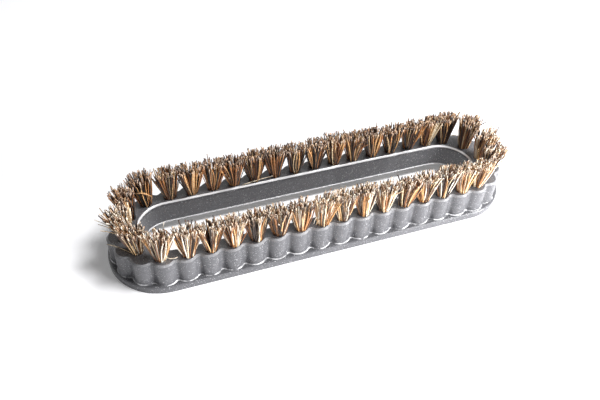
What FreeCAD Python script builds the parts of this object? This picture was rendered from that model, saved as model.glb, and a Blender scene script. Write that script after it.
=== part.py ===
"""Oblong ring brush: a moulded base with a scalloped wall, set with rows of fibre tufts.

Millimetres, +Z up. The origin is the middle of the underside, X runs along the brush and Y
across it. Each piece is written to parts/NODE.step.
"""
import FreeCAD, Part
import math
import os
from FreeCAD import Vector

# ---------------------------------------------------------------- driving dimensions, mm
# Tuft pattern, which sets the length of everything else
TUFT_PITCH = 8.0
TUFTS_PER_SIDE = 14
TUFTS_PER_END = 5
SCALLOPS_PER_END = 7

# Straight part of each outline, past the half length of a tuft row
OPENING_RUN = -2.2
HOLE_LINE_RUN = -1.5
OUTER_RUN = 1.6

# Opening, and the widths that follow one another outward from it
OPENING_HALF_WIDTH = 11.15
HOLE_LINE_INSET = 3.65         # opening to the middle of the tuft holes
WALL_WIDTH = 7.35              # opening to the crests of the scallops
PLATE_BORDER = 0.9             # how far the plate stands out past the crests
REBATE_DEPTH = 3.6             # step under the inside of the wall, where a nozzle's mouth fits

# Heights, from the underside
PLATE_THICKNESS = 2.6
REBATE_HEIGHT = 3.1
RING_HEIGHT = 12.4             # deck that carries the tufts
TUFT_TIP_HEIGHT = 24.0         # trimmed fibre ends

# Edges
INNER_RIM_RADIUS = 1.4         # between the deck and the opening
CREST_EDGE_CHAMFER = 0.65
PLATE_EDGE_CHAMFER = 0.35
SCALLOP_RADIUS = 4.4
VALLEY_RADIUS = 1.15

# Tuft holes, across the corners of their flats. The pattern sits a little off the middle.
HOLE_DIAMETER = 4.3
HOLE_DEPTH = 8.0
HOLE_FLATS = 10                # sides that stand for the round of a hole or a bundle
ROW_OFFSET = 0.9               # both rows, along X
PATTERN_OFFSET = -0.45         # the whole pattern, along Y

# Tufts: a fibre bundle folded in half round a flat wire anchor
TUFT_CLEARANCE = 0.05          # between the folded bundle and the wall of its hole
TUFT_TIP_DIAMETER = 7.2
FOLD_THICKNESS = 1.3           # fibre under the anchor
SIDE_LEAN = 1.0                # degrees outward
END_LEAN = 8.0

# Anchors: flat wire, jammed across the hole
ANCHOR_END_GAP = 0.08          # between an anchor's end and the wall of its hole
ANCHOR_HEIGHT = 1.4
ANCHOR_THICKNESS = 0.4

# ---------------------------------------------------------------- derived places
ROW_HALF_LENGTH = TUFT_PITCH * TUFTS_PER_SIDE / 2
OPENING_STRAIGHT = ROW_HALF_LENGTH + OPENING_RUN
HOLE_LINE_STRAIGHT = ROW_HALF_LENGTH + HOLE_LINE_RUN
OUTER_STRAIGHT = ROW_HALF_LENGTH + OUTER_RUN
HOLE_LINE_HALF_WIDTH = OPENING_HALF_WIDTH + HOLE_LINE_INSET
CREST_HALF_WIDTH = OPENING_HALF_WIDTH + WALL_WIDTH
PLATE_HALF_WIDTH = CREST_HALF_WIDTH + PLATE_BORDER
REBATE_HALF_WIDTH = OPENING_HALF_WIDTH + REBATE_DEPTH
ANCHOR_LENGTH = HOLE_DIAMETER - 2 * ANCHOR_END_GAP
TUFT_FREE_LENGTH = TUFT_TIP_HEIGHT - RING_HEIGHT
ROOT_RADIUS = HOLE_DIAMETER / 2 - TUFT_CLEARANCE
SAME_PLACE = 1e-4              # points closer than this coincide


def oblong_point(distance, straight, half_width, row):
    """Point on an oblong path and its outward direction.

    The path has straight sides of half length `straight` and round ends of radius
    `half_width`. `distance` is measured round the +X end from the end of the row.
    """
    run = straight - row
    arc = math.pi * half_width
    if distance <= run:
        return Vector(row + distance, -half_width, 0), Vector(0, -1, 0)
    if distance < run + arc:
        angle = (distance - run) / half_width
        outward = Vector(math.sin(angle), -math.cos(angle), 0)
        return Vector(straight, 0, 0) + outward * half_width, outward
    return Vector(straight - (distance - run - arc), half_width, 0), Vector(0, 1, 0)


def stations(per_end, straight, half_width):
    """Equally spaced places round the ring, anticlockwise: side, end, side, end.

    Both sides carry TUFTS_PER_SIDE places at TUFT_PITCH. Returns (name, point, outward).
    """
    places = []
    end_length = 2 * (straight - ROW_HALF_LENGTH) + math.pi * half_width
    for turn, side, end in ((0, "front", "right"), (180, "back", "left")):
        rotate = FreeCAD.Rotation(Vector(0, 0, 1), turn)
        for i in range(TUFTS_PER_SIDE):
            x = (i + 0.5) * TUFT_PITCH - ROW_HALF_LENGTH
            places.append((f"{side}_{i + 1:02d}", rotate.multVec(Vector(x, -half_width, 0)),
                           rotate.multVec(Vector(0, -1, 0))))
        for i in range(per_end):
            point, outward = oblong_point((i + 0.5) * end_length / per_end, straight,
                                          half_width, ROW_HALF_LENGTH)
            places.append((f"{end}_{i + 1}", rotate.multVec(point), rotate.multVec(outward)))
    return places


def tuft_places():
    """(name, point, outward, lean) of every tuft, with the drilled pattern's offsets."""
    places = []
    for name, point, outward in stations(TUFTS_PER_END, HOLE_LINE_STRAIGHT, HOLE_LINE_HALF_WIDTH):
        in_row = name.startswith(("front", "back"))
        offset = Vector(ROW_OFFSET if in_row else 0, PATTERN_OFFSET, 0)
        places.append((name, point + offset, outward, SIDE_LEAN if in_row else END_LEAN))
    return places


def oblong_face(straight, half_width):
    """Flat face with straight sides and round ends, at Z = 0."""
    corner = [Vector(sx * straight, sy * half_width, 0)
              for sx, sy in ((-1, -1), (1, -1), (1, 1), (-1, 1))]
    tip = straight + half_width
    edges = [Part.LineSegment(corner[0], corner[1]).toShape(),
             Part.Arc(corner[1], Vector(tip, 0, 0), corner[2]).toShape(),
             Part.LineSegment(corner[2], corner[3]).toShape(),
             Part.Arc(corner[3], Vector(-tip, 0, 0), corner[0]).toShape()]
    return Part.Face(Part.Wire(edges))


def scalloped_face():
    """Flat face whose outline is a ring of round crests joined by small hollow fillets."""
    centre_line = CREST_HALF_WIDTH - SCALLOP_RADIUS
    crests = [(point, outward) for _, point, outward
              in stations(SCALLOPS_PER_END, OUTER_STRAIGHT, centre_line)]
    reach = SCALLOP_RADIUS + VALLEY_RADIUS
    hollows = []
    for i, (here, _) in enumerate(crests):
        there = crests[(i + 1) % len(crests)][0]
        along = there - here
        outward = Vector(along.y, -along.x, 0).normalize()
        rise = math.sqrt(reach ** 2 - (along.Length / 2) ** 2)
        hollows.append(((here + there) * 0.5 + outward * rise, outward))
    edges = []
    for i, (centre, outward) in enumerate(crests):
        before, after = hollows[i - 1][0], hollows[i][0]
        start = centre + (before - centre) * (SCALLOP_RADIUS / reach)
        end = centre + (after - centre) * (SCALLOP_RADIUS / reach)
        edges.append(Part.Arc(start, centre + outward * SCALLOP_RADIUS, end).toShape())
        following = crests[(i + 1) % len(crests)][0]
        leave = following + (after - following) * (SCALLOP_RADIUS / reach)
        floor = after - hollows[i][1] * VALLEY_RADIUS
        edges.append(Part.Arc(end, floor, leave).toShape())
    return Part.Face(Part.Wire(edges))


def edges_at(shape, height):
    """Edges that lie wholly at a height."""
    found = []
    for edge in shape.Edges:
        middle = edge.valueAt((edge.FirstParameter + edge.LastParameter) / 2)
        heights = [vertex.Z for vertex in edge.Vertexes] + [middle.z]
        if all(abs(z - height) < SAME_PLACE for z in heights):
            found.append(edge)
    return found


def base_plate():
    """Flat oblong plate with its upper edge broken."""
    plate = oblong_face(OUTER_STRAIGHT, PLATE_HALF_WIDTH).extrude(Vector(0, 0, PLATE_THICKNESS))
    return plate.makeChamfer(PLATE_EDGE_CHAMFER, edges_at(plate, PLATE_THICKNESS))


def round_the_opening(edge):
    """True for an edge that lies nearer the middle than the tuft holes."""
    middle = edge.valueAt((edge.FirstParameter + edge.LastParameter) / 2)
    past_straight = max(abs(middle.x) - OPENING_STRAIGHT, 0)
    return math.hypot(past_straight, middle.y) < OPENING_HALF_WIDTH + SAME_PLACE


def ring_wall():
    """Upright ring: scalloped outside, plain inside, with softened upper edges."""
    upright = Vector(0, 0, RING_HEIGHT)
    wall = scalloped_face().extrude(upright)
    wall = wall.makeChamfer(CREST_EDGE_CHAMFER, edges_at(wall, RING_HEIGHT))
    wall = wall.cut(oblong_face(OPENING_STRAIGHT, OPENING_HALF_WIDTH).extrude(upright))
    rim = [edge for edge in edges_at(wall, RING_HEIGHT) if round_the_opening(edge)]
    return wall.makeFillet(INNER_RIM_RADIUS, rim)


def rebate():
    """Space under the inside of the wall, open through the plate."""
    return oblong_face(OPENING_STRAIGHT, REBATE_HALF_WIDTH).extrude(Vector(0, 0, REBATE_HEIGHT))


def turn_outward(shape, outward):
    """Turns a shape about Z so that its +Y side faces outward."""
    turn = math.degrees(math.atan2(outward.y, outward.x)) - 90
    shape.rotate(Vector(0, 0, 0), Vector(0, 0, 1), turn)
    return shape


def flats(radius, height, shift=0.0):
    """Corners of a regular outline with HOLE_FLATS sides, at a height and moved along Y."""
    step = 2 * math.pi / HOLE_FLATS
    return [Vector(radius * math.cos(step * i), radius * math.sin(step * i) + shift, height)
            for i in range(HOLE_FLATS)]


def flat_sided(outlines):
    """Solid with flat sides through a stack of outlines, lowest first."""
    faces = [Part.Face(Part.makePolygon(ring + ring[:1])) for ring in (outlines[0], outlines[-1])]
    for lower, upper in zip(outlines, outlines[1:]):
        for i in range(HOLE_FLATS):
            k = (i + 1) % HOLE_FLATS
            side = [lower[i], lower[k], upper[k], upper[i], lower[i]]
            faces.append(Part.Face(Part.makePolygon(side)))
    return Part.makeSolid(Part.makeShell(faces))


def set_in_deck(shape, place, outward):
    """Moves a shape made at the middle of a hole's mouth to one of the holes."""
    shape = turn_outward(shape, outward)
    shape.translate(place + Vector(0, 0, RING_HEIGHT))
    return shape


def tuft_hole(place, outward):
    """Blind hole in the deck."""
    radius = HOLE_DIAMETER / 2
    return set_in_deck(flat_sided([flats(radius, -HOLE_DEPTH), flats(radius, 0)]), place, outward)


def anchor(place, outward):
    """Flat wire anchor, set along the row in its hole."""
    corner = Vector(-ANCHOR_LENGTH / 2, -ANCHOR_THICKNESS / 2, FOLD_THICKNESS - HOLE_DEPTH)
    blade = Part.makeBox(ANCHOR_LENGTH, ANCHOR_THICKNESS, ANCHOR_HEIGHT, corner)
    return set_in_deck(blade, place, outward)


def tuft(place, outward, lean):
    """Folded fibre bundle: a root that fills the hole and a free length that fans out."""
    # the free length leans outward, which is +Y until the bundle is turned to its place
    drift = TUFT_FREE_LENGTH * math.tan(math.radians(lean))
    bundle = flat_sided([flats(ROOT_RADIUS, -HOLE_DEPTH), flats(ROOT_RADIUS, 0),
                         flats(TUFT_TIP_DIAMETER / 2, TUFT_FREE_LENGTH, drift)])
    return set_in_deck(bundle, place, outward).cut(anchor(place, outward))


def main():
    """Build every piece and write it to its own file."""
    places = tuft_places()
    holes = [tuft_hole(point, outward) for _, point, outward, _ in places]
    body = base_plate().fuse(ring_wall()).removeSplitter()
    body = body.cut(Part.makeCompound(holes + [rebate()]))
    anchors = Part.makeCompound([anchor(point, outward) for _, point, outward, _ in places])
    pieces = {"brush_body": body, "tuft_anchors": anchors}
    for name, point, outward, lean in places:
        pieces["tuft_" + name] = tuft(point, outward, lean)
    os.makedirs("parts", exist_ok=True)
    for name, shape in pieces.items():
        shape.exportStep(f"parts/{name}.step")


main()
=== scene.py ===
import math

import bpy
import numpy as np
from mathutils import Matrix, Vector


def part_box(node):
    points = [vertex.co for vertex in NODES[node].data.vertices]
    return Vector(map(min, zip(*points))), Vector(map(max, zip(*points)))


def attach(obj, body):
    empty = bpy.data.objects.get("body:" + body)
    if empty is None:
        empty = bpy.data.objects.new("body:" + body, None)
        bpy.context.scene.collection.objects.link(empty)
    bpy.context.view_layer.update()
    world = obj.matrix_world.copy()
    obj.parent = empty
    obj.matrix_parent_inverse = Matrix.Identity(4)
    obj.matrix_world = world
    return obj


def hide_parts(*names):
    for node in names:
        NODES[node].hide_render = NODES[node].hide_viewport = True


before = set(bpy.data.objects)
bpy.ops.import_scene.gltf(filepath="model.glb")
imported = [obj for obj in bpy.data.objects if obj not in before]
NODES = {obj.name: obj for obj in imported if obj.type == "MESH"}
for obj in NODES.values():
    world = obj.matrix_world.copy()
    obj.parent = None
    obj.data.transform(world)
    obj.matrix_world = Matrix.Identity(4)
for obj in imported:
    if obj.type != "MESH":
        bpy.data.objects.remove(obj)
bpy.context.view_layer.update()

TUFTS = sorted(name for name in NODES if name.startswith("tuft_") and name != "tuft_anchors")
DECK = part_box("brush_body")[1][2]    # surface that the tufts stand on
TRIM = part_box(TUFTS[0])[1][2]        # their trimmed ends
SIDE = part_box("brush_body")[1][1]    # half width of the plate

# ---------------------------------------------------------------- dimensions, metres
# The fibres
FIBRES = 136                   # in one tuft
FIBRE_RADIUS = 0.00018
FIBRE_SIDES = 5
FIBRE_RINGS = 9
SUNK = 0.0015                  # fibre inside its hole
FAN_ALONG = 1.50               # spread of the ends in the side rows, over that of the solid
FAN_ACROSS = 0.95
FAN_ENDS = 1.38                # and round the two ends
RAGGED = 0.00028               # unevenness of the trimmed ends
STRAY_UP = 0.0004              # how far a fibre may pass the trimmed height
STRAY_OUT = 0.0007             # and the sides of the plate
CLUMPS = 8                     # groups that the ends of one tuft draw together in
LOOSE = 0.75                   # loose fibres' radius, over that of the rest
# The base, as in the CAD model
OPENING = 0.01115              # half width of the opening
HALF_RUN = 0.0538              # half length of its straight sides
RIM = 0.0014                   # radius of its rounded rim
STEP = 0.0031                  # height of the step under its wall
# Trim that is only in this scene
FOOT_RADIUS = 0.00055          # hollow fillet round the foot of the scallops
FOOT_STEPS = 6
SEAT = 0.00002                 # how far its edges lie inside the plastic
BEAD = 0.00026                 # radius of the bead on the lower edge of the opening's wall
# Plastic
CREST_HIGHLIGHT_SHARE = 0.13             # share of the painted highlight on the crests' top edges, over that on the rim of the opening


# ---------------------------------------------------------------- shader helpers
def material(name):
    """A new node material: its tree, its shader and a maker of nodes."""
    mat = bpy.data.materials.new(name)
    mat.use_nodes = True
    tree = mat.node_tree
    shader = tree.nodes["Principled BSDF"]

    def make(kind, **values):
        node = tree.nodes.new(kind)
        for key, value in values.items():
            if key in node.inputs:
                node.inputs[key].default_value = value
            else:
                setattr(node, key, value)
        return node

    return mat, tree, shader, make


def ramp(make, stops):
    node = make("ShaderNodeValToRGB")
    elements = node.color_ramp.elements
    while len(elements) < len(stops):
        elements.new(0.5)
    for element, (at, colour) in zip(elements, stops):
        element.position = at
        element.color = (*colour, 1)
    return node


def noise(make, tree, source, scale, detail=3, rough=0.5):
    node = make("ShaderNodeTexNoise", Scale=scale, Detail=detail, Roughness=rough)
    tree.links.new(source, node.inputs["Vector"])
    return node


def grey(value):
    return (value, value, value)


# ---------------------------------------------------------------- materials
def painted_edge_highlights(make, tree, place):
    """Where the plastic gets painted highlights: a pale line on the rounded rim of the opening, a
    fainter one on the crests' top edges, one on the bead under the opening's wall and broken
    glints on the foot fillet.
    Heights run from 0 at the table to 1 at the deck."""
    def step(source, stops):
        node = ramp(make, [(at, grey(value)) for at, value in stops])
        tree.links.new(source, node.inputs["Fac"])
        return node.outputs["Color"]

    def maths(operation, one, other):
        node = make("ShaderNodeMath", operation=operation)
        for socket, value in zip(node.inputs, (one, other)):
            if isinstance(value, float):
                socket.default_value = value
            else:
                tree.links.new(value, socket)
        return node.outputs["Value"]

    at = make("ShaderNodeSeparateXYZ")
    tree.links.new(place, at.inputs["Vector"])
    facing = make("ShaderNodeSeparateXYZ")
    tree.links.new(make("ShaderNodeTexCoord").outputs["Normal"], facing.inputs["Vector"])
    length = maths("ABSOLUTE", at.outputs["X"], 0.0)
    past = maths("MAXIMUM", maths("SUBTRACT", length, HALF_RUN), 0.0)
    square = maths("ADD", maths("MULTIPLY", past, past), maths("POWER", at.outputs["Y"], 2.0))
    inside = maths("LESS_THAN", square, (OPENING + RIM) ** 2)
    height = maths("MULTIPLY", at.outputs["Z"], 1 / DECK)
    # Painted highlight: a pale line on the rounded rim of the opening, and a faint one on the
    # crests' top edges.
    slope = step(facing.outputs["Z"], [(0.50, 0), (0.62, 1), (0.86, 1), (0.93, 0)])
    rim = maths("MULTIPLY", slope, maths("GREATER_THAN", height, (DECK - RIM) / DECK))
    share = maths("ADD", maths("MULTIPLY", inside, 1 - CREST_HIGHLIGHT_SHARE), CREST_HIGHLIGHT_SHARE)
    # Painted highlight: a pale line on the bead under the opening's wall.
    bead = step(height, [(0.2515, 0), (0.2525, 1), (0.285, 1), (0.30, 0)])
    low = maths("MULTIPLY", inside, bead)
    # Painted glints: broken pale patches on the foot fillet outside the opening.
    broken = step(noise(make, tree, place, 420, 2).outputs["Fac"], [(0.40, 0), (0.58, 0.8)])
    slope = step(facing.outputs["Z"], [(0.3, 0), (0.6, 1), (0.9, 1), (0.97, 0)])
    fillet = step(height, [(0.2105, 0), (0.213, 1), (0.238, 1), (0.25, 0)])
    foot = maths("MULTIPLY", fillet, maths("MULTIPLY", broken, slope))
    foot = maths("MULTIPLY", foot, maths("SUBTRACT", 1.0, inside))
    return maths("MAXIMUM", maths("MULTIPLY", rim, share), maths("MAXIMUM", low, foot))


def moulded_plastic():
    mat, tree, shader, make = material("moulded_plastic")
    link = tree.links.new
    place = make("ShaderNodeTexCoord").outputs["Object"]
    cloud = noise(make, tree, place, 90, 2)
    base = ramp(make, [(0.2, (0.087, 0.087, 0.094)), (0.8, (0.102, 0.102, 0.110))])
    link(cloud.outputs["Fac"], base.inputs["Fac"])
    dust = noise(make, tree, place, 2900, 1, 0.5)
    specks = ramp(make, [(0.65, grey(0)), (0.74, grey(0.9))])
    link(dust.outputs["Fac"], specks.inputs["Fac"])
    mix = make("ShaderNodeMix", data_type="RGBA")
    link(specks.outputs["Color"], mix.inputs["Factor"])
    link(base.outputs["Color"], mix.inputs["A"])
    mix.inputs["B"].default_value = (0.50, 0.50, 0.52, 1)
    # Pale colour mixed in as painted highlights on the rim, the crests' edges, the bead and the
    # foot.
    painted_highlight_mix = make("ShaderNodeMix", data_type="RGBA")
    link(painted_edge_highlights(make, tree, place), painted_highlight_mix.inputs["Factor"])
    link(mix.outputs["Result"], painted_highlight_mix.inputs["A"])
    painted_highlight_mix.inputs["B"].default_value = (0.82, 0.82, 0.84, 1)
    link(painted_highlight_mix.outputs["Result"], shader.inputs["Base Color"])
    gloss = ramp(make, [(0.2, grey(0.24)), (0.8, grey(0.30))])
    link(cloud.outputs["Fac"], gloss.inputs["Fac"])
    link(gloss.outputs["Color"], shader.inputs["Roughness"])
    grain = noise(make, tree, place, 1400, 3)
    bump = make("ShaderNodeBump", Strength=0.10, Distance=0.0001)
    link(grain.outputs["Fac"], bump.inputs["Height"])
    link(bump.outputs["Normal"], shader.inputs["Normal"])
    return mat


def natural_fibre():
    """Plant fibre. The attribute "fibre" holds its tone, the way up it and the tone of its end."""
    mat, tree, shader, make = material("natural_fibre")
    link = tree.links.new
    own = make("ShaderNodeAttribute", attribute_name="fibre")
    parts = make("ShaderNodeSeparateColor")
    link(own.outputs["Color"], parts.inputs["Color"])
    tone = ramp(make, [(0.00, (0.012, 0.010, 0.009)), (0.16, (0.040, 0.020, 0.012)),
                       (0.32, (0.160, 0.062, 0.023)), (0.48, (0.450, 0.190, 0.066)),
                       (0.64, (0.680, 0.390, 0.160)), (0.82, (0.860, 0.670, 0.420)),
                       (1.00, (0.930, 0.860, 0.740))])
    link(parts.outputs["Red"], tone.inputs["Fac"])
    place = make("ShaderNodeTexCoord").outputs["Object"]
    streak = noise(make, tree, place, 1500, 2)
    shade = ramp(make, [(0.3, grey(0.70)), (0.7, grey(1.15))])
    link(streak.outputs["Fac"], shade.inputs["Fac"])
    side = make("ShaderNodeMix", data_type="RGBA", blend_type="MULTIPLY", Factor=1.0)
    link(tone.outputs["Color"], side.inputs["A"])
    link(shade.outputs["Color"], side.inputs["B"])
    cut = ramp(make, [(0.0, (0.015, 0.012, 0.010)), (0.33, (0.090, 0.055, 0.040)),
                      (0.55, (0.430, 0.300, 0.215)), (1.0, (0.940, 0.860, 0.740))])
    link(parts.outputs["Blue"], cut.inputs["Fac"])
    near_end = ramp(make, [(0.82, grey(0.0)), (0.97, grey(0.65))])
    link(parts.outputs["Green"], near_end.inputs["Fac"])
    whole = make("ShaderNodeMix", data_type="RGBA")
    link(near_end.outputs["Color"], whole.inputs["Factor"])
    link(side.outputs["Result"], whole.inputs["A"])
    link(cut.outputs["Color"], whole.inputs["B"])
    link(whole.outputs["Result"], shader.inputs["Base Color"])
    shader.inputs["Roughness"].default_value = 0.38
    bump = make("ShaderNodeBump", Strength=0.2, Distance=0.0001)
    link(streak.outputs["Fac"], bump.inputs["Height"])
    link(bump.outputs["Normal"], shader.inputs["Normal"])
    return mat


def wire_steel():
    mat, tree, shader, make = material("anchor_steel")
    link = tree.links.new
    place = make("ShaderNodeTexCoord").outputs["Object"]
    marks = noise(make, tree, place, 900, 3)
    colour = ramp(make, [(0.3, grey(0.42)), (0.7, grey(0.58))])
    link(marks.outputs["Fac"], colour.inputs["Fac"])
    link(colour.outputs["Color"], shader.inputs["Base Color"])
    gloss = ramp(make, [(0.3, grey(0.28)), (0.7, grey(0.45))])
    link(marks.outputs["Fac"], gloss.inputs["Fac"])
    link(gloss.outputs["Color"], shader.inputs["Roughness"])
    shader.inputs["Metallic"].default_value = 1.0
    return mat


PLASTIC = moulded_plastic()
FIBRE = natural_fibre()
STEEL = wire_steel()
for node_name, finish in (("brush_body", PLASTIC), ("tuft_anchors", STEEL)):
    for slot in NODES[node_name].material_slots:
        slot.material = finish


# ---------------------------------------------------------------- fibres
def tubes(name, lines, radii, tones, rng, cut=1.0):
    """One mesh of fibres. lines is fibres x rings x 3, radii fibres x rings, tones fibres, and
    cut scales how pale the ends are."""
    count, rings, _ = lines.shape
    along = np.gradient(lines, axis=1)
    along /= np.linalg.norm(along, axis=2, keepdims=True)
    side = np.cross(along, np.array([0.34, 0.94, 0.05]))
    side /= np.linalg.norm(side, axis=2, keepdims=True)
    other = np.cross(along, side)
    turn = np.arange(FIBRE_SIDES) * (2 * math.pi / FIBRE_SIDES)
    offset = (np.cos(turn)[:, None] * side[:, :, None, :]
              + np.sin(turn)[:, None] * other[:, :, None, :])
    points = lines[:, :, None, :] + offset * radii[:, :, None, None]
    index = np.arange(count * rings * FIBRE_SIDES).reshape(count, rings, FIBRE_SIDES)
    low, high = index[:, :-1], index[:, 1:]
    quads = np.stack([low, np.roll(low, -1, 2), np.roll(high, -1, 2), high], -1).reshape(-1, 4)
    bottoms, tops = index[:, 0, ::-1], index[:, -1]
    faces = quads.tolist() + bottoms.tolist() + tops.tolist()
    mesh = bpy.data.meshes.new(name)
    mesh.from_pydata(points.reshape(-1, 3).tolist(), [], faces)
    mesh.shade_smooth()
    colour = np.ones((count, rings, FIBRE_SIDES, 4), np.float32)
    colour[..., 0] = tones[:, None, None]
    colour[..., 1] = np.linspace(0, 1, rings)[None, :, None]
    colour[..., 2] = cut * rng.random(count)[:, None, None]
    attribute = mesh.attributes.new("fibre", "FLOAT_COLOR", "POINT")
    attribute.data.foreach_set("color", colour.ravel())
    mesh.materials.append(FIBRE)
    piece = bpy.data.objects.new(name, mesh)
    bpy.context.scene.collection.objects.link(piece)
    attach(piece, "root")
    return piece


def mesh_points(node):
    """A CAD node's points, in metres."""
    mesh = NODES[node].data
    flat = np.zeros(len(mesh.vertices) * 3, np.float32)
    mesh.vertices.foreach_get("co", flat)
    return flat.reshape(-1, 3).astype(float)


def level(points, height):
    """Middle and radius of a tuft's outline at one height."""
    ring = points[np.abs(points[:, 2] - height) < 1e-5][:, :2]
    middle = (ring.min(0) + ring.max(0)) / 2
    return middle, np.linalg.norm(ring - middle, axis=1).max()


def row_direction(place):
    """Direction of the row of tufts at a place, anticlockwise round the ring."""
    low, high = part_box("brush_body")
    straight = high[0] - high[1]
    outward = place - np.array([np.clip(place[0], -straight, straight), 0.0])
    outward /= np.linalg.norm(outward)
    return np.array([-outward[1], outward[0]]), outward


def foot_outline():
    """Foot of the scalloped wall in order round the ring, with outward directions."""
    body = NODES["brush_body"].data
    points = mesh_points("brush_body")
    top = points[points[:, 1] < points[:, 1].min() + 0.0006][:, 2].max()
    after = {}
    for face in body.polygons:
        corners = points[list(face.vertices)]
        on_foot = np.abs(corners[:, 2] - top) < 1e-5
        if on_foot.sum() != 2 or corners[:, 2].max() < top + 0.001 or abs(face.normal.z) > 0.1:
            continue
        here, there = (tuple(np.round(corner[:2], 7)) for corner in corners[on_foot])
        along = np.subtract(there, here)
        if along[1] * face.normal.x - along[0] * face.normal.y < 0:
            here, there = there, here
        after[here] = there
    chain = [next(iter(after))]
    while after[chain[-1]] != chain[0]:
        chain.append(after[chain[-1]])
    line = np.array(chain)
    along = np.roll(line, -1, 0) - np.roll(line, 1, 0)
    along /= np.linalg.norm(along, axis=1, keepdims=True)
    return line, np.stack([along[:, 1], -along[:, 0]], 1), top


def sweep(name, line, outward, out, height):
    """Plastic strip round the ring: a profile of distances out and heights along a closed line."""
    flat = line[:, None] + outward[:, None] * out[None, :, None]
    high = np.broadcast_to(height[None, :, None], flat.shape[:2] + (1,))
    points = np.concatenate([flat, high], 2)
    index = np.arange(points.shape[0] * len(out)).reshape(-1, len(out))
    ahead = np.roll(index, -1, 0)
    faces = np.stack([index[:, :-1], index[:, 1:], ahead[:, 1:], ahead[:, :-1]], -1).reshape(-1, 4)
    mesh = bpy.data.meshes.new(name)
    mesh.from_pydata(points.reshape(-1, 3).tolist(), [], faces.tolist())
    mesh.shade_smooth()
    mesh.materials.append(PLASTIC)
    piece = bpy.data.objects.new(name, mesh)
    bpy.context.scene.collection.objects.link(piece)
    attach(piece, "root")


def foot_fillet():
    """Small hollow fillet between the plate and the foot of the scalloped wall."""
    line, outward, top = foot_outline()
    angle = np.linspace(0, math.pi / 2, FOOT_STEPS)
    out = FOOT_RADIUS * (1 - np.cos(angle)) - SEAT
    up = FOOT_RADIUS * (1 - np.sin(angle)) - SEAT
    sweep("foot_fillet", line, outward, out, top + up)


def lower_bead():
    """Rounded bead on the lower edge of the opening's wall, above the step."""
    turn = np.linspace(-math.pi / 2, math.pi / 2, 33)
    ends = np.stack([np.cos(turn), np.sin(turn)], 1)
    outward = np.concatenate([ends, -ends])
    line = outward * OPENING
    line[:, 0] += np.sign(outward[:, 0] + np.repeat((1e-9, -1e-9), 33)) * HALF_RUN
    angle = np.linspace(0, 2 * math.pi, 13)
    sweep("lower_bead", line, outward, BEAD * np.cos(angle), STEP + BEAD * (0.9 + np.sin(angle)))


def bundle(node, seed):
    """Fibres that stand where a tuft's solid stands."""
    rng = np.random.default_rng(seed)
    points = mesh_points(node)
    root, root_radius = level(points, DECK)
    tip, tip_radius = level(points, points[:, 2].max())
    along_row, across = row_direction(root)
    order = np.arange(FIBRES)
    reach = np.sqrt((order + 0.5) / FIBRES)
    angle = order * 2.39996 + rng.uniform(0, 2 * math.pi)
    disc = np.stack([reach * np.cos(angle), reach * np.sin(angle)], 1)
    disc += rng.normal(0, 0.05, disc.shape)
    centres = disc[rng.choice(FIBRES, CLUMPS, replace=False)]
    nearest = centres[np.argmin(np.linalg.norm(disc[:, None] - centres[None], axis=2), 1)]
    ends = disc + (nearest - disc) * rng.uniform(0.05, 0.5, (FIBRES, 1))
    ends += rng.normal(0, 0.07, disc.shape)
    start = (root + disc[:, :1] * along_row * (root_radius - FIBRE_RADIUS)
             + disc[:, 1:] * across * (root_radius - FIBRE_RADIUS))
    in_row = abs(across[1]) ** 4
    fan = tip_radius * (FAN_ENDS + (FAN_ALONG - FAN_ENDS) * in_row) * rng.uniform(0.92, 1.1)
    depth = tip_radius * (FAN_ENDS + (FAN_ACROSS - FAN_ENDS) * in_row)
    tip = tip + rng.normal(0, 0.0004, 2)
    end = tip + ends[:, :1] * along_row * fan + ends[:, 1:] * across * depth
    top = TRIM + np.minimum(rng.normal(0, RAGGED, FIBRES), STRAY_UP)
    short = rng.random(FIBRES) < 0.12
    top[short] -= rng.uniform(0.0006, 0.0026, short.sum())
    t = np.linspace(0, 1, FIBRE_RINGS)
    free = top - DECK
    z = (DECK - SUNK) + (free + SUNK)[:, None] * t
    rise = np.clip((z - DECK) / free[:, None], 0, 1)
    bow = rng.normal(0, 0.00025, (FIBRES, 2))
    curl = rng.normal(0, 0.00028, (FIBRES, 2))
    wild = rng.random(FIBRES) < 0.14
    curl[wild] *= 4
    flat = (start[:, None, :] + (end - start)[:, None, :] * rise[:, :, None]
            + bow[:, None, :] * np.sin(math.pi * rise)[:, :, None]
            + curl[:, None, :] * (rise ** 4)[:, :, None])
    flat[..., 1] = np.clip(flat[..., 1], -SIDE - STRAY_OUT, SIDE + STRAY_OUT)
    lines = np.concatenate([flat, z[:, :, None]], 2)
    size = FIBRE_RADIUS * rng.uniform(0.7, 1.3, FIBRES)
    radii = size[:, None] * (1.05 + 0.05 * rise)
    # Back rows: fibres and their cut ends are darkened as painted shade, on top of each tuft's own
    # random tone.
    shaded = across[1] > 0.2
    tone_and_shade = rng.normal(0.05, 0.05) - 0.11 * shaded
    tones = np.clip(rng.beta(0.75, 0.85, FIBRES) * (1 - 0.18 * shaded) + tone_and_shade, 0, 1)
    piece = tubes(node.replace("tuft", "fibres"), lines, radii, tones, rng,
                  1 - 0.3 * shaded)
    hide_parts(node)


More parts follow.
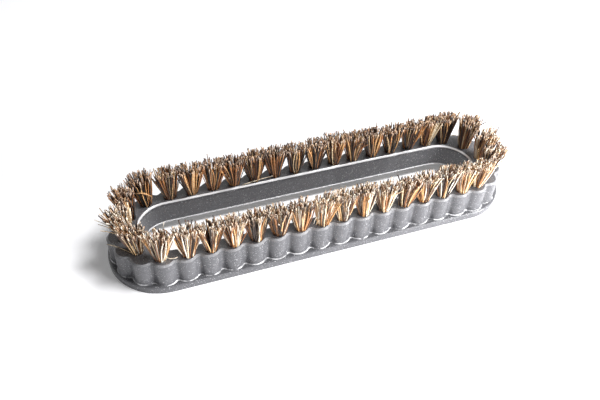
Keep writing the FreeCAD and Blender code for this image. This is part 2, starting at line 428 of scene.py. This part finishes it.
# Loose and bent fibres: four control points in millimetres, and the tone
STRAYS = (
    ((-60.2, -12.9, 15.0), (-59.0, -15.6, 12.6), (-57.0, -16.4, 12.7), (-54.8, -15.9, 12.8), 0.95),
    ((-24.5, 12.0, 12.7), (-20.0, 11.9, 13.3), (-16.0, 12.3, 13.6), (-12.5, 12.6, 13.4), 0.90),
    ((-26.2, 13.3, 12.4), (-27.6, 13.2, 14.5), (-29.6, 13.0, 16.6), (-30.8, 12.8, 19.0), 1.00),
    ((-26.0, 13.2, 12.4), (-26.5, 13.1, 14.6), (-27.3, 13.1, 16.6), (-28.1, 13.0, 18.6), 1.00),
    ((-68.6, -9.6, 12.6), (-71.5, -7.0, 13.2), (-73.5, -5.2, 13.6), (-76.2, -3.6, 13.5), 0.85),
    ((-69.4, -0.6, 12.4), (-72.5, -0.6, 16.5), (-75.5, -0.6, 20.5), (-78.3, -0.5, 22.8), 0.98),
    ((-69.4, -1.2, 12.4), (-72.0, -1.4, 16.0), (-74.5, -1.6, 19.5), (-77.4, -1.6, 21.4), 0.90),
    ((-69.2, -1.9, 12.4), (-71.8, -2.4, 15.6), (-74.5, -2.8, 18.5), (-77.2, -2.9, 19.6), 0.80),
    ((-69.4, 0.4, 12.4), (-72.0, 0.4, 16.5), (-74.8, 0.4, 20.5), (-76.6, 0.4, 23.2), 1.00),
    ((-61.0, 13.6, 12.5), (-57.6, 11.0, 16.5), (-58.6, 9.4, 21.5), (-63.2, 9.8, 21.0), 0.62),
    ((-60.6, 13.0, 12.5), (-56.8, 10.6, 15.6), (-57.4, 9.2, 19.8), (-61.2, 9.4, 20.6), 0.56),
    ((-4.3, -15.8, 12.4), (-4.6, -16.5, 18.8), (-6.6, -16.8, 18.4), (-7.0, -16.6, 14.2), 1.00),
    ((-3.4, -15.8, 12.4), (-3.2, -16.4, 19.2), (-1.6, -16.6, 19.2), (-0.9, -16.4, 14.5), 1.00),
    ((-3.9, -15.9, 12.4), (-4.2, -16.8, 16.8), (-5.6, -17.0, 16.8), (-6.2, -16.8, 13.6), 0.72),
    ((60.6, 12.4, 15.2), (62.6, 11.4, 16.9), (65.2, 10.2, 16.6), (67.4, 9.4, 14.6), 0.85),
)


def strays():
    """Loose fibres, each a cubic curve."""
    rng = np.random.default_rng(7)
    points = np.array([row[:4] for row in STRAYS]) / 1000
    t = np.linspace(0, 1, FIBRE_RINGS)
    weights = np.stack([(1 - t) ** 3, 3 * t * (1 - t) ** 2, 3 * t * t * (1 - t), t ** 3], 1)
    lines = np.einsum("rk,nkc->nrc", weights, points)
    radii = np.full(lines.shape[:2], FIBRE_RADIUS * LOOSE)
    tubes("loose_fibres", lines, radii, np.array([row[4] for row in STRAYS]), rng)


foot_fillet()
lower_bead()
strays()
for number, node_name in enumerate(TUFTS):
    bundle(node_name, 100 + number)


# ---------------------------------------------------------------- floor, light, camera
FLOOR_GLOW = 0.21              # for the rays that see the white surroundings
SKY = 0.06                     # for the other rays
TABLE_HALF = 3.0
CAMERA_ANGLES = (-21.29, 43.6, 2.49)    # azimuth, elevation, roll, degrees
CAMERA_AIM = (-0.00207, 0.01016, 0)
CAMERA_DISTANCE = 0.2596
CAMERA_LENS = 39.686                    # millimetres


def seen_rays(nodes, link):
    """1 for the rays that see the white surroundings: camera, glossy and transmission rays."""
    path = nodes.new("ShaderNodeLightPath")
    value = path.outputs["Is Camera Ray"]
    for name in ("Is Glossy Ray", "Is Transmission Ray"):
        either = nodes.new("ShaderNodeMath")
        either.operation = "MAXIMUM"
        link(value, either.inputs[0])
        link(path.outputs[name], either.inputs[1])
        value = either.outputs["Value"]
    return value


def table():
    mesh = bpy.data.meshes.new("table")
    corners = ((-1, -1), (1, -1), (1, 1), (-1, 1))
    mesh.from_pydata([(TABLE_HALF * x, TABLE_HALF * y, 0) for x, y in corners],
                     [], [(0, 1, 2, 3)])
    mat, tree, shader, make = material("table_white")
    link = tree.links.new
    shader.inputs["Base Color"].default_value = (0.86, 0.86, 0.88, 1)
    shader.inputs["Roughness"].default_value = 0.9
    shader.inputs["Specular IOR Level"].default_value = 0.0
    glow = make("ShaderNodeEmission", Color=(1, 1, 1, 1))
    gain = make("ShaderNodeMath", operation="MULTIPLY")
    link(seen_rays(tree.nodes, link), gain.inputs[0])
    gain.inputs[1].default_value = FLOOR_GLOW
    link(gain.outputs["Value"], glow.inputs["Strength"])
    both = make("ShaderNodeAddShader")
    link(shader.outputs["BSDF"], both.inputs[0])
    link(glow.outputs["Emission"], both.inputs[1])
    link(both.outputs["Shader"], tree.nodes["Material Output"].inputs["Surface"])
    mesh.materials.append(mat)
    floor = bpy.data.objects.new("table", mesh)
    bpy.context.scene.collection.objects.link(floor)


def lamp(name, place, aim, size, watts):
    data = bpy.data.lights.new(name, "AREA")
    data.shape = "RECTANGLE"
    data.size, data.size_y = size
    data.energy = watts
    obj = bpy.data.objects.new(name, data)
    obj.location = place
    obj.rotation_euler = (Vector(aim) - Vector(place)).to_track_quat("-Z", "Y").to_euler()
    bpy.context.scene.collection.objects.link(obj)


def surroundings():
    world = bpy.data.worlds.new("studio")
    bpy.context.scene.world = world
    world.use_nodes = True
    nodes, link = world.node_tree.nodes, world.node_tree.links.new
    background = nodes["Background"]
    background.inputs["Color"].default_value = (1, 1, 1, 1)
    strength = nodes.new("ShaderNodeMapRange")
    strength.inputs["To Min"].default_value = SKY
    strength.inputs["To Max"].default_value = 1.0
    link(seen_rays(nodes, link), strength.inputs["Value"])
    link(strength.outputs["Result"], background.inputs["Strength"])


def camera():
    """Where the photo was taken from."""
    azimuth, elevation, roll = (math.radians(angle) for angle in CAMERA_ANGLES)
    back = Vector((math.sin(azimuth) * math.cos(elevation),
                   -math.cos(azimuth) * math.cos(elevation), math.sin(elevation)))
    right = (-back).cross(Vector((0, 0, 1))).normalized()
    up = right.cross(-back)
    tilted = right * math.cos(roll) + up * math.sin(roll)
    upward = up * math.cos(roll) - right * math.sin(roll)
    data = bpy.data.cameras.new("camera")
    data.sensor_fit = "HORIZONTAL"
    data.sensor_width = 36.0
    data.lens = CAMERA_LENS
    data.clip_start = 0.01
    obj = bpy.data.objects.new("camera", data)
    place = Vector(CAMERA_AIM) + back * CAMERA_DISTANCE
    turn = Matrix((tilted, upward, back)).transposed().to_4x4()
    obj.matrix_world = Matrix.Translation(place) @ turn
    bpy.context.scene.collection.objects.link(obj)
    bpy.context.scene.camera = obj


table()
surroundings()
lamp("key", (0.26, -0.05, 0.61), (0, 0, 0.01), (0.20, 0.20), 5.4)
lamp("front", (0.205, -0.215, 0.080), (0.01, 0, 0.012), (0.16, 0.09), 2.5)
camera()
bpy.context.scene.view_settings.view_transform = "Standard"
